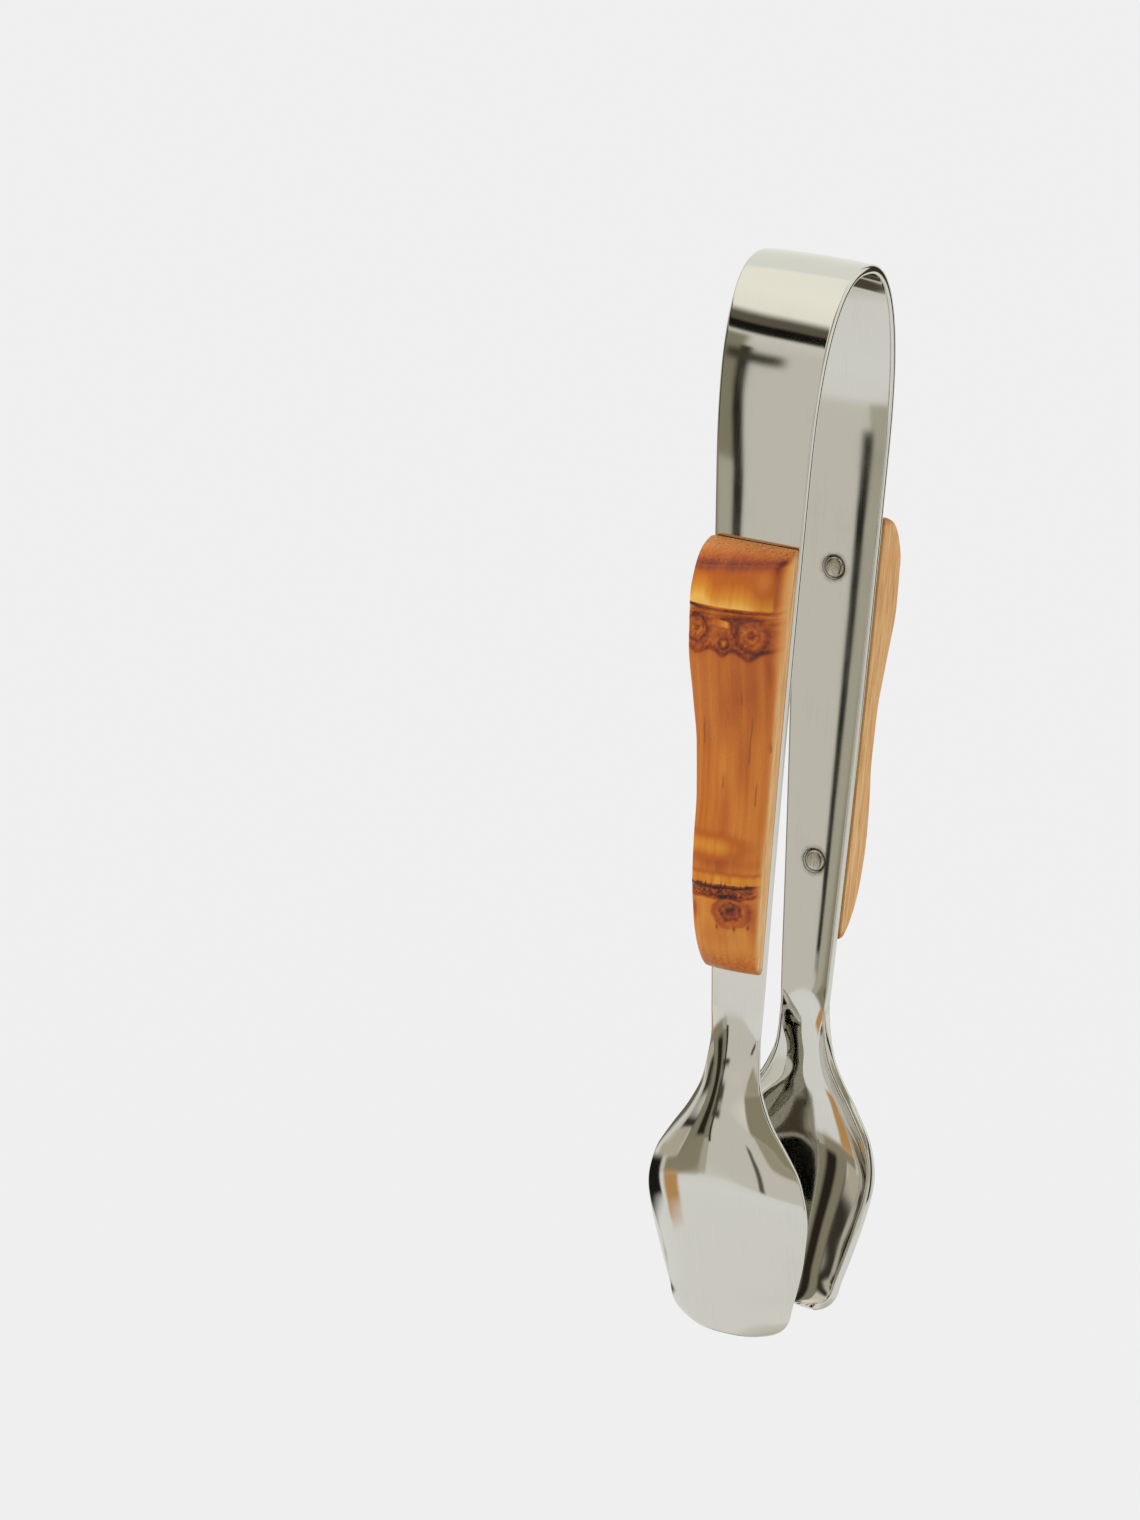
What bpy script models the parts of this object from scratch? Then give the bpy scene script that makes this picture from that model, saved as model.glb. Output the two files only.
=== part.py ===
"""Ice tongs: a bent steel strip with two spoon bowls and two bamboo grips.

Metres, +Z up. X runs across the strip and Y from the front leg to the rear leg.
The origin lies midway between the legs, at the height where a cradle holds them.
"""

import math

import bmesh
import bpy
from mathutils import Matrix

# Driving dimensions
LENGTH = 0.179                  # bowl tips to the top of the bow
HANG_HEIGHT = 0.140             # bowl tips to the cradle, where the origin is
THICKNESS = 0.0015              # steel strip
EDGE_ROUND = 0.0004             # softened edges of the strip
GAP = 0.0003                    # between pieces that touch

# Bow: a tall superellipse that springs the two legs apart
BOW_HALF_SPAN = 0.0133          # centre plane to the strip's middle
BOW_RISE = 0.033
BOW_POWER = 2.4
HINGE_ANGLE = math.radians(47)  # where each leg flexes, measured from the leg's line
SPLIT_ANGLE = math.radians(0.55)  # half of the slit between bow and leg

# Legs: flat at the top, then bending gently inwards
BEND_START = 0.136              # height above the tips, just over the grips
BEND_RATE = 0.235               # inward bend, per metre
NECK_HEIGHT = 0.051
NECK_HALF_WIDTH = 0.0044
TAPER = 0.0424                  # growth of the half width with height

# Bowls: height above the tip, then the distance from the centre plane, half width or dish
BOWL_TOP = 0.061
BOWL_LINE = [(0.0, 0.0096), (0.005, 0.0110), (0.012, 0.0130), (0.020, 0.0148), (0.028, 0.0159),
             (0.035, 0.0158), (0.0425, 0.0141), (0.050, 0.01215), (0.054, 0.01185), (0.061, 0.01198)]
BOWL_WIDTHS = [(0.005, 0.0112), (0.010, 0.0126), (0.016, 0.0140), (0.023, 0.0149), (0.029, 0.0137),
               (0.034, 0.0108), (0.039, 0.0074), (0.044, 0.0053), (0.051, NECK_HALF_WIDTH)]
BOWL_DISH = [(0.0, 0.0020), (0.008, 0.0036), (0.015, 0.0044), (0.027, 0.0043), (0.034, 0.0038),
             (0.041, 0.0026), (0.049, 0.0008), (0.055, 0.0)]
DISH_POWER = 2.4
TIP_CORNER = 0.005              # rounded corners of the tip
TIP_CAMBER = 0.0007             # the tip's edge bows down in the middle

# Grips: height above the tips, then the skin's height over the strip at its high and low edge
GRIP_BOTTOM = 0.0631
GRIP_TOP = 0.1345
GRIP_HIGH_EDGE = [(0.0631, 0.0012), (0.0643, 0.0027), (0.0662, 0.0039), (0.0686, 0.0049), (0.072, 0.0057),
                  (0.0785, 0.0062), (0.085, 0.0058), (0.093, 0.0049), (0.101, 0.0050), (0.109, 0.0063),
                  (0.1185, 0.0079), (0.126, 0.0076), (0.1302, 0.0062), (0.133, 0.0042), (0.1345, 0.0015)]
GRIP_LOW_EDGE = [(0.0631, 0.0009), (0.0643, 0.0018), (0.0662, 0.0024), (0.0686, 0.0028), (0.072, 0.0032),
                 (0.0785, 0.0037), (0.085, 0.0035), (0.093, 0.0031), (0.101, 0.0032), (0.109, 0.0038),
                 (0.1185, 0.0052), (0.126, 0.0056), (0.1302, 0.0049), (0.133, 0.0034), (0.1345, 0.0012)]
GRIP_CROWN = 0.0016             # the skin's rise between its edges
CROWN_FADE = 0.006              # the crown dies out this far from the grip's ends
GRIP_ROW = 0.003                # longest step between the grip's sections

# Blind pins that hold the grips from the inside
PIN_HEIGHTS = {"lower": 0.0760, "upper": 0.1255}
PIN_RADIUS = 0.0017
PIN_PROUD = 0.0002              # the head stands this far out of the leg's inner face
PIN_IN_GRIP = 0.0028
PIN_SIDES = 24

BOW_STEP = math.radians(6)      # between the bow's rows
LEG_ROW = 0.006                 # longest step between the leg's rows
BOWL_ROW = 0.0024               # longest step between the bowl's rows
STRIP_COLUMNS = [-1, -0.86, -0.62, -0.32, 0, 0.32, 0.62, 0.86, 1]
SKIN_COLUMNS = [-1, -0.9, -0.7, -0.45, -0.15, 0.15, 0.45, 0.7, 0.9, 1]


def smooth(points, x):
    """Value at x of a smooth curve through (x, value) points that never overshoots them."""
    xs = [p[0] for p in points]
    ys = [p[1] for p in points]
    if x <= xs[0] or x >= xs[-1]:
        return ys[0] if x <= xs[0] else ys[-1]
    slopes = [(ys[i + 1] - ys[i]) / (xs[i + 1] - xs[i]) for i in range(len(xs) - 1)]
    tangents = [slopes[0]]
    for before, after in zip(slopes, slopes[1:]):
        same_way = before * after > 0
        tangents.append(2 * before * after / (before + after) if same_way else 0.0)
    tangents.append(slopes[-1])
    i = max(k for k in range(len(slopes)) if xs[k] <= x)
    step = xs[i + 1] - xs[i]
    t = (x - xs[i]) / step
    return (ys[i] * (1 + 2 * t) * (1 - t) ** 2 + ys[i + 1] * t * t * (3 - 2 * t)
            + step * t * (1 - t) * (tangents[i] * (1 - t) - tangents[i + 1] * t))


def bow_point(angle):
    """Distance from the centre plane, and height above the tips, of the strip's middle on the bow."""
    power = 2 / BOW_POWER
    out = BOW_HALF_SPAN * math.copysign(abs(math.cos(angle)) ** power, math.cos(angle))
    base = LENGTH - THICKNESS / 2 - BOW_RISE
    return out, base + BOW_RISE * math.sin(angle) ** power


def leg_line(height):
    """Distance of the leg's middle from the centre plane."""
    if height < BOWL_TOP:
        return smooth(BOWL_LINE, height)
    return BOW_HALF_SPAN - BEND_RATE * max(0.0, BEND_START - height) ** 2


def half_width(height):
    """Half the strip's width."""
    if height >= NECK_HEIGHT:
        return NECK_HALF_WIDTH + TAPER * (height - NECK_HEIGHT)
    width = smooth(BOWL_WIDTHS, max(height, TIP_CORNER))
    corner = 1 - min(height / TIP_CORNER, 1.0)
    return width - TIP_CORNER * (1 - math.sqrt(1 - corner * corner))


def spread(low, high, step):
    """Evenly spaced values from low to high, at most a step apart."""
    count = math.ceil((high - low) / step - 1e-9)
    return [low + (high - low) * i / count for i in range(count + 1)]


def strip_row(out, height, columns):
    """One row of the strip's middle surface, from its left edge to its right edge."""
    row = []
    dish = smooth(BOWL_DISH, height)
    camber = TIP_CAMBER * max(0.0, 1 - height / TIP_CORNER)
    for s in columns:
        row.append((s * half_width(height), -(out - dish * abs(s) ** DISH_POWER),
                    height + camber * s * s - HANG_HEIGHT))
    return row


def make_material(name, colour, roughness, metallic):
    material = bpy.data.materials.new(name)
    material.use_nodes = True
    shader = material.node_tree.nodes["Principled BSDF"]
    shader.inputs["Base Color"].default_value = (*colour, 1)
    shader.inputs["Roughness"].default_value = roughness
    shader.inputs["Metallic"].default_value = metallic
    material.diffuse_color = (*colour, 1)
    return material


def make_object(name, bm, collection, material, turn):
    """An object from a bmesh, turned half round the Z axis for the rear side."""
    if turn:
        bmesh.ops.rotate(bm, verts=bm.verts, matrix=Matrix.Rotation(math.pi, 3, "Z"))
    mesh = bpy.data.meshes.new(name)
    bm.to_mesh(mesh)
    bm.free()
    mesh.materials.append(material)
    mesh.shade_smooth()
    mesh.set_sharp_from_angle(angle=math.radians(35))
    piece = bpy.data.objects.new(name, mesh)
    collection.objects.link(piece)
    return piece


def grid_bmesh(rows):
    """An open surface through rows of equally many points."""
    bm = bmesh.new()
    verts = [[bm.verts.new(point) for point in row] for row in rows]
    for upper, lower in zip(verts, verts[1:]):
        for i in range(len(upper) - 1):
            bm.faces.new((upper[i], lower[i], lower[i + 1], upper[i + 1]))
    return bm


def thicken(piece):
    """Give a strip surface its thickness and softened edges."""
    solidify = piece.modifiers.new("thickness", "SOLIDIFY")
    solidify.thickness = THICKNESS
    solidify.offset = 0
    solidify.use_even_offset = True
    bevel = piece.modifiers.new("edges", "BEVEL")
    bevel.width = EDGE_ROUND
    bevel.segments = 2
    bevel.limit_method = "ANGLE"
    bevel.angle_limit = math.radians(50)


def make_bow(collection, material):
    first = HINGE_ANGLE + SPLIT_ANGLE
    rows = []
    for angle in spread(first, math.pi - first, BOW_STEP):
        out, height = bow_point(angle)
        rows.append(strip_row(out, height, [-1, 0, 1]))
    bow = make_object("bow", grid_bmesh(rows), collection, material, False)
    thicken(bow)
    return bow


def make_leg(name, collection, material, turn):
    """The strip from the hinge down to the bowl's tip."""
    points = [bow_point(a) for a in spread(0, HINGE_ANGLE - SPLIT_ANGLE, BOW_STEP)][::-1]
    heights = spread(BEND_START, points[-1][1], LEG_ROW * 2)[:-1] + spread(BOWL_TOP, BEND_START, LEG_ROW)[:-1]
    heights += spread(TIP_CORNER, BOWL_TOP, BOWL_ROW)[:-1]
    heights += [TIP_CORNER * (1 - math.cos(a)) for a in spread(0, math.pi / 2, BOW_STEP * 3)[:-1]]
    points += [(leg_line(h), h) for h in sorted(set(heights), reverse=True)]
    rows = [strip_row(out, height, STRIP_COLUMNS) for out, height in points]
    leg = make_object(name, grid_bmesh(rows), collection, material, turn)
    thicken(leg)
    return leg


def grip_section(height):
    """One closed section of a grip: the flat back first, then over the skin."""
    width = half_width(height)
    back = leg_line(height) + THICKNESS / 2 + GAP
    high = smooth(GRIP_HIGH_EDGE, height)
    low = smooth(GRIP_LOW_EDGE, height)
    end = min(height - GRIP_BOTTOM, GRIP_TOP - height) / CROWN_FADE
    crown = GRIP_CROWN * math.sin(math.pi / 2 * min(1.0, 0.3 + end))
    section = [(width, -back), (-width, -back)]
    for s in SKIN_COLUMNS:
        rise = high + (low - high) * (s + 1) / 2 + crown * (1 - s * s)
        section.append((s * width, -back - rise))
    return [(x, y, height - HANG_HEIGHT) for x, y in section]


def make_grip(name, collection, material, turn):
    """A slip of bamboo: flat back, sawn sides and a crowned skin, lofted from end to end."""
    stations = [h for h, _ in GRIP_HIGH_EDGE]
    heights = stations[:3] + spread(stations[3], stations[-3], GRIP_ROW) + stations[-2:]
    bm = bmesh.new()
    loops = [[bm.verts.new(point) for point in grip_section(h)] for h in heights]
    for lower, upper in zip(loops, loops[1:]):
        for i in range(len(lower)):
            j = (i + 1) % len(lower)
            bm.faces.new((lower[i], upper[i], upper[j], lower[j]))
    bm.faces.new(loops[0])
    bm.faces.new(loops[-1][::-1])
    bmesh.ops.recalc_face_normals(bm, faces=bm.faces)
    return make_object(name, bm, collection, material, turn)


def pin_span(height):
    """Where a pin starts inside the leg's inner face, and where it ends in the grip."""
    middle = leg_line(height)
    return middle - THICKNESS / 2 - PIN_PROUD, middle + THICKNESS / 2 + GAP + PIN_IN_GRIP


def cylinder_bmesh(radius, start, end, height):
    """A round bar across a leg, from start to end outwards from the centre plane."""
    bm = bmesh.new()
    middle = Matrix.Translation((0, -(start + end) / 2, height - HANG_HEIGHT))
    place = middle @ Matrix.Rotation(math.pi / 2, 4, "X")
    bmesh.ops.create_cone(bm, cap_ends=True, segments=PIN_SIDES, radius1=radius, radius2=radius,
                          depth=end - start, matrix=place)
    return bm


def bore(piece, cutters, material, turn):
    """Cut a hole with a small clearance round each pin through a leg or into a grip."""
    for label, height in PIN_HEIGHTS.items():
        start, end = pin_span(height)
        bm = cylinder_bmesh(PIN_RADIUS + GAP, start - 0.002, end + GAP, height)
        cutter = make_object(f"{piece.name}_{label}_bore", bm, cutters, material, turn)
        cutter.hide_render = True
        cutter.display_type = "WIRE"
        cut = piece.modifiers.new(f"{label} bore", "BOOLEAN")
        cut.operation = "DIFFERENCE"
        cut.object = cutter


def make_side(side, turn, tongs, cutters, materials):
    """One leg with its grip and pins, all turning about the leg's hinge."""
    steel, bamboo, pin_steel = materials
    pieces = [make_leg(f"{side}_leg", tongs, steel, turn), make_grip(f"{side}_grip", tongs, bamboo, turn)]
    for piece in pieces:
        bore(piece, cutters, steel, turn)
    for label, height in PIN_HEIGHTS.items():
        start, end = pin_span(height)
        bm = cylinder_bmesh(PIN_RADIUS, start, end, height)
        pieces.append(make_object(f"{side}_{label}_pin", bm, tongs, pin_steel, turn))
    out, height = bow_point(HINGE_ANGLE)
    hinge = bpy.data.objects.new(f"{side}_hinge", None)
    hinge.location = (0, out if turn else -out, height - HANG_HEIGHT)
    tongs.objects.link(hinge)
    bpy.context.view_layer.update()
    for piece in pieces:
        piece.parent = hinge
        piece.matrix_parent_inverse = hinge.matrix_world.inverted()


def main():
    for old in list(bpy.data.objects):
        bpy.data.objects.remove(old)
    tongs = bpy.data.collections.new("ice_tongs")
    cutters = bpy.data.collections.new("cutters")
    for collection in (tongs, cutters):
        bpy.context.scene.collection.children.link(collection)
    steel = make_material("satin steel", (0.60, 0.59, 0.56), 0.28, 1.0)
    bamboo = make_material("bamboo", (0.55, 0.24, 0.06), 0.38, 0.0)
    pin_steel = make_material("pin steel", (0.48, 0.47, 0.44), 0.35, 1.0)
    make_bow(tongs, steel)
    make_side("front", False, tongs, cutters, (steel, bamboo, pin_steel))
    make_side("rear", True, tongs, cutters, (steel, bamboo, pin_steel))


main()
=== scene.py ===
import math

import bmesh
import bpy
import numpy as np
from mathutils import Matrix, Vector


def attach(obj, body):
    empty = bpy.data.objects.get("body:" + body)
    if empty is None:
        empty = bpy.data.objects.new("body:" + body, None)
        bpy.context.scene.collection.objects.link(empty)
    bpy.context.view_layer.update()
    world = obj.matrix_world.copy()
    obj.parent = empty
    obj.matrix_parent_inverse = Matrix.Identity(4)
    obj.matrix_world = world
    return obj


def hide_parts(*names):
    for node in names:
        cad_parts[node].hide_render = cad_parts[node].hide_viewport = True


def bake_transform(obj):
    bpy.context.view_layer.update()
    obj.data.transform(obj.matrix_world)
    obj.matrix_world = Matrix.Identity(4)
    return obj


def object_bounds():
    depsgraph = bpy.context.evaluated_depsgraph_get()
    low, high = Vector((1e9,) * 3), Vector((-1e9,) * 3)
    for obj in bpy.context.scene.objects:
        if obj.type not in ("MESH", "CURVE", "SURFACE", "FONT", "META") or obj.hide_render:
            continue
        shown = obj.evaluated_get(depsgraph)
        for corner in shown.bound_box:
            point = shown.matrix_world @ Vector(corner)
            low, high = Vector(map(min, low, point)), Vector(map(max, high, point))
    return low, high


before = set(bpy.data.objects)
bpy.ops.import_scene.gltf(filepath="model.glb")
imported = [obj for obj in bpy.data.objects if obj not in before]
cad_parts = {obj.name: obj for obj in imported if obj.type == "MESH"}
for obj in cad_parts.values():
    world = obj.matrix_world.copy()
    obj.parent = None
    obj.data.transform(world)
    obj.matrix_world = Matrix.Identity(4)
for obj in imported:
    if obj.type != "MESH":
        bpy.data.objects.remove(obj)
cadLow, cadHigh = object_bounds()
mm = 0.001  # the dictionaries give lengths in millimetres


def linear(hexColour):
    channels = [int(hexColour[i:i + 2], 16) / 255 for i in (1, 3, 5)]
    return [c / 12.92 if c <= 0.04045 else ((c + 0.055) / 1.055) ** 2.4 for c in channels] + [1.0]


def addNode(tree, kind, settings=None, inputs=None):
    node = tree.nodes.new(kind)
    for name, value in (settings or {}).items():
        if name == "stops":
            elements = node.color_ramp.elements
            while len(elements) < len(value):
                elements.new(1.0)
            for element, (position, colour) in zip(elements, value):
                element.position = position
                element.color = linear(colour)
        else:
            setattr(node, name, value)
    for name, value in (inputs or {}).items():
        if isinstance(value, bpy.types.NodeSocket):
            tree.links.new(value, node.inputs[name])
        elif isinstance(value, bpy.types.Node):
            tree.links.new(value.outputs[0], node.inputs[name])
        else:
            node.inputs[name].default_value = value
    return node


def maths(tree, operation, *values, clamp=False):
    # one Math node on up to three numbers, sockets or nodes
    settings = {"operation": operation, "use_clamp": clamp}
    return addNode(tree, "ShaderNodeMath", settings, dict(enumerate(values)))


def ramp(tree, reading, stops):
    return addNode(tree, "ShaderNodeValToRGB", {"stops": stops}, {0: reading}).outputs["Color"]


def layered(tree, share, under, over):
    # one colour laid over another
    return addNode(tree, "ShaderNodeMix", {"data_type": "RGBA"}, {0: share, 6: under, 7: over}).outputs[2]


def mapped(tree, reading, low, high, start=0.0, end=1.0, kind="SMOOTHSTEP"):
    # from start to end as the reading goes from low to high
    return addNode(tree, "ShaderNodeMapRange", {"interpolation_type": kind},
                   {"Value": reading, "From Min": low, "From Max": high, "To Min": start, "To Max": end})


def cloudy(tree, place, scale, detail, roughness=0.5):
    return addNode(tree, "ShaderNodeTexNoise", None,
                   {"Vector": place, "Scale": scale, "Detail": detail, "Roughness": roughness}).outputs["Fac"]


def newGeometryTree(name, numbers, places=()):
    # an empty Geometry Nodes tree with one geometry in, the given inputs and one geometry out
    tree = bpy.data.node_groups.new(name, "GeometryNodeTree")
    tree.interface.new_socket("Geometry", in_out="INPUT", socket_type="NodeSocketGeometry")
    for label in numbers:
        tree.interface.new_socket(label, in_out="INPUT", socket_type="NodeSocketFloat")
    for label in places:
        tree.interface.new_socket(label, in_out="INPUT", socket_type="NodeSocketVector")
    tree.interface.new_socket("Geometry", in_out="OUTPUT", socket_type="NodeSocketGeometry")
    return tree, addNode(tree, "NodeGroupInput").outputs


def finishTree(tree, geometry, material):
    realized = addNode(tree, "GeometryNodeRealizeInstances", None, {0: geometry})
    finished = addNode(tree, "GeometryNodeSetMaterial", None, {"Geometry": realized, "Material": material})
    addNode(tree, "NodeGroupOutput", None, {0: finished})
    return tree


def newMaterial(name):
    material = bpy.data.materials.new(name)
    material.use_nodes = True
    return material, material.node_tree, material.node_tree.nodes["Principled BSDF"]


def newPiece(name, mesh):
    piece = bpy.data.objects.new(name, mesh)
    bpy.context.scene.collection.objects.link(piece)
    return piece


def gridFaces(rows, columns, wrapped=False):
    # quads between neighbouring rows of points, closed round each row where wrapped
    r, c = np.meshgrid(np.arange(rows - 1), np.arange(columns if wrapped else columns - 1), indexing="ij")
    after = (c + 1) % columns
    quads = [r * columns + c, (r + 1) * columns + c, (r + 1) * columns + after, r * columns + after]
    return np.stack(quads, -1).reshape(-1, 4)


def meshFrom(name, points, faces, values=None):
    mesh = bpy.data.meshes.new(name)
    mesh.from_pydata(np.asarray(points).tolist(), [], [list(map(int, f)) for f in faces])
    for label, data in (values or {}).items():
        layer = mesh.attributes.new(label, "FLOAT", "POINT")
        layer.data.foreach_set("value", np.asarray(data, np.float32))
    return mesh


def baked(piece):
    # the evaluated shape as a plain mesh, with the modifiers gone
    graph = bpy.context.evaluated_depsgraph_get()
    mesh = bpy.data.meshes.new_from_object(piece.evaluated_get(graph))
    piece.modifiers.clear()
    old = piece.data
    piece.data = mesh
    bpy.data.meshes.remove(old)
    mesh.name = piece.name
    return piece


def setInputs(modifier, values):
    for item in modifier.node_group.interface.items_tree:
        if item.item_type == "SOCKET" and item.in_out == "INPUT" and item.name in values:
            modifier[item.identifier] = values[item.name]


def smoothstep(low, high, x):
    t = np.clip((x - low) / (high - low), 0, 1)
    return t * t * (3 - 2 * t)


# A long lens a little above the tongs, looking down on them from the front right
cameraPlan = {
    "place": (0.5619, -1.0350, 0.2733),
    "lookAt": (-0.0405, 0.0, -0.0518),
    "roll": 2.877,  # degrees
    "lens": 177.96,
}


def makeCamera(plan):
    data = bpy.data.cameras.new("camera")
    data.lens = plan["lens"]
    data.clip_start = 0.01
    data.clip_end = 60
    camera = bpy.data.objects.new("camera", data)
    place = Vector(plan["place"])
    aim = (Vector(plan["lookAt"]) - place).to_track_quat("-Z", "Y").to_matrix().to_4x4()
    roll = Matrix.Rotation(math.radians(plan["roll"]), 4, "Z")
    camera.matrix_world = Matrix.Translation(place) @ aim @ roll
    bpy.context.scene.collection.objects.link(camera)
    bpy.context.scene.camera = camera
    bpy.context.scene.view_settings.view_transform = "Standard"


makeCamera(cameraPlan)
print("camera ready")


# The studio: a pale backdrop, soft light all round, and the flags and panels that polished steel shows.
# Directions are in degrees: azimuth from -Y towards -X, and elevation above the horizon.
studio = {
    "backdrop": "#EEEEEE",
    "floorDrop": 110,
    "floorReach": 30000,
    "floorColour": "#D9DADD",
    "softLight": 0.95,
    "softColour": "#FFFDFA",
    "sunStrength": 1.2,
    "sunAngle": 65,
    "sunTurn": (38, 0, -62),
    "reflected": 1.2,
    "heights": [(-90, "#B9B7AF"), (-56.5, "#CFCDC5"), (-51, "#DADAD6"), (-24, "#DDDEDC"),
                (-19, "#DBDBD8"), (-17.3, "#C9C6BD"), (12, "#C9C6BD"), (30, "#F0EFE4"), (45, "#F6F5E9"),
                (70, "#F4F3EA"), (90, "#EFF1EE")],
    # azimuth range, elevation range, softness of the four sides, colour, and where the steel shows it
    "flags": [
        ((95, 265), (-16, 90), 14, "#E4E5DF"),  # crown
        ((74, 125), (-75, -56.5), 4.0, "#4A4538"),  # under the crown
        ((100, 132), (-9, 22), 9.0, "#6A6454"),  # left half of the rear bowl
        ((33, 66), (-12.6, 16), 2.0, "#84806C"),  # olive, down the left of legs and bowls
        ((33, 40), (-18, -12.4), 0.8, "#ABA899"),  # inner face of the rear leg
        ((39, 80), (-18, -10.6), 4.0, "#8A8470"),  # top of the front bowl
        ((40.5, 52), (-10, 16), 5.0, "#28241D"),  # streak beside the olive
        ((64, 86), (-3.4, 4.0), 6.0, "#38342B"),  # shoulder of the front bowl
        ((68, 94), (-10.6, -3.6), 3.0, "#B3AD9B"),  # just below that
        ((61, 80), (-33, -17), 6.0, "#B98F5C"),  # amber, in both bowls
        ((86, 112), (-29, -10.8), 4.0, "#1B1A18"),  # left rim of the front bowl
        ((-68, -24), (13, 34), 6.0, "#8C8670"),  # right shoulder of the front bowl
        ((-60, -28), (3, 14), 5.0, "#9D9782"),  # the same, lower
        ((-15, -10), (-17.5, -3), 3.0, "#5A554B"),  # short line on the front bowl
        ((-84, -72), (-17, 60), 2.0, "#2A2824"),  # right rims
        ((-160, -150), (-17, 40), 1.5, "#33312B"),  # right edges
        ((5, 62), (18.6, 27.5), 5.0, "#5C5749"),  # soft shade above the bow band
        ((5, 60), (17.4, 21.8), 1.6, "#161410"),  # bow band
        ((31.4, 33.8), (-14.2, 12), 1.2, "#211F1A"),  # line down both legs
        ((27, 37), (7.0, 10.5), 3.0, "#3F3B31"),  # patch under the bow band
    ],
}


def makeWorld(plan):
    world = bpy.data.worlds.new("soft studio")
    world.use_nodes = True
    world.cycles.sampling_method = "NONE"
    bpy.context.scene.world = world
    tree = world.node_tree
    output = tree.nodes["World Output"]
    tree.nodes.remove(tree.nodes["Background"])
    direction = addNode(tree, "ShaderNodeTexCoord").outputs["Generated"]
    split = addNode(tree, "ShaderNodeSeparateXYZ", None, {"Vector": direction})
    minusX = maths(tree, "MULTIPLY", split.outputs["X"], -1.0)
    minusY = maths(tree, "MULTIPLY", split.outputs["Y"], -1.0)
    azimuth = maths(tree, "DEGREES", maths(tree, "ARCTAN2", minusX, minusY))
    elevation = maths(tree, "DEGREES", maths(tree, "ARCSINE", split.outputs["Z"]))
    height = mapped(tree, elevation, -90, 90, kind="LINEAR")
    colour = ramp(tree, height, [((e + 90) / 180, tone) for e, tone in plan["heights"]])
    for turns, rises, soft, flagColour in plan["flags"]:
        mask = None
        for angle, (low, high) in ((azimuth, turns), (elevation, rises)):
            away = maths(tree, "SUBTRACT", angle, (low + high) / 2)
            if angle is azimuth:
                away = maths(tree, "WRAP", away, 180.0, -180.0)
            half = (high - low) / 2
            distance = maths(tree, "ABSOLUTE", away)
            side = mapped(tree, distance, half - soft / 2, half + soft / 2, 1.0, 0.0)
            mask = side if mask is None else maths(tree, "MULTIPLY", mask, side)
        colour = layered(tree, mask, colour, linear(flagColour))
    reflected, soft, backdrop = (
        addNode(tree, "ShaderNodeBackground", None, {"Color": tone, "Strength": strength})
        for tone, strength in ((colour, plan["reflected"]), (linear(plan["softColour"]), plan["softLight"]),
                               (linear(plan["backdrop"]), 1.0)))
    path = addNode(tree, "ShaderNodeLightPath").outputs
    lit = addNode(tree, "ShaderNodeMixShader", None, {0: path["Is Glossy Ray"], 1: soft, 2: reflected})
    seen = addNode(tree, "ShaderNodeMixShader", None, {0: path["Is Camera Ray"], 1: lit, 2: backdrop})
    tree.links.new(seen.outputs[0], output.inputs["Surface"])


def makeFloor(plan):
    height = cadLow.z - plan["floorDrop"] * mm
    reach = plan["floorReach"] * mm
    corners = [(x * reach, y * reach, height) for x, y in ((-1, -1), (1, -1), (1, 1), (-1, 1))]
    floor = newPiece("floor", meshFrom("floor", corners, [(0, 1, 2, 3)]))
    material, tree, shader = newMaterial("white table top, matt paint")  # even and pale, with no shine
    shader.inputs["Base Color"].default_value = linear(plan["floorColour"])
    shader.inputs["Roughness"].default_value = 1.0
    shader.inputs["Specular IOR Level"].default_value = 0.0
    floor.data.materials.append(material)
    floor.visible_glossy = False
    data = bpy.data.lights.new("soft sun", "SUN")
    data.energy = plan["sunStrength"]
    data.angle = math.radians(plan["sunAngle"])
    sun = bpy.data.objects.new("soft sun", data)
    sun.rotation_euler = [math.radians(a) for a in plan["sunTurn"]]
    sun.visible_glossy = False
    bpy.context.scene.collection.objects.link(sun)


makeWorld(studio)
makeFloor(studio)
print("studio ready")


# Steel strip: a tall bow on top, flat legs that bend inwards, narrow necks and open bowls.
# Points are (height above the tips, then distance from the centre plane, half width or depth).
strip = {
    "tipDrop": 140,  # the tips hang this far below the origin
    "length": 179,
    "thickness": 1.5,
    "edgeRound": 0.5,
    "edgeShape": 3.2,
    "arch": 0.30,  # the strip is arched across by this much, as rolled strip is
    "archPower": 2.4,
    "bowHalfSpan": 13.3,
    "bowRise": 33,
    "bowPower": 2.4,
    "bendStart": 136,
    "bendRate": 0.000235,
    "neckHeight": 51,
    "neckHalfWidth": 4.4,
    "taper": 0.0424,
    "bowlTop": 61,
    "bowlLine": [(0, 9.6), (5, 11.0), (12, 13.0), (20, 14.8), (28, 15.9), (35, 15.8), (42.5, 14.1),
                 (50, 12.15), (54, 11.85), (61, 11.98)],
    "bowlWidths": [(5, 11.2), (10, 12.6), (16, 14.0), (23, 14.9), (29, 13.7), (34, 10.8), (39, 7.4),
                   (44, 5.3), (51, 4.4)],
    "bowlDish": [(0, 2.0), (8, 3.6), (15, 4.4), (27, 4.3), (34, 3.8), (41, 2.6), (49, 0.8), (55, 0)],
    "dishPower": 2.4,
    "tipCorner": 5,
    "tipCamber": 0.7,
    "soften": 2.2,  # reach of the easing that takes the kinks out of those lines
    "rowStep": 0.4,
    "legTop": 140,  # between this height and the next the leg is nearly flat, and its rows stand wider
    "legFoot": 62,
    "legRowStep": 1.2,
    "columns": 64,
}
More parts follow.
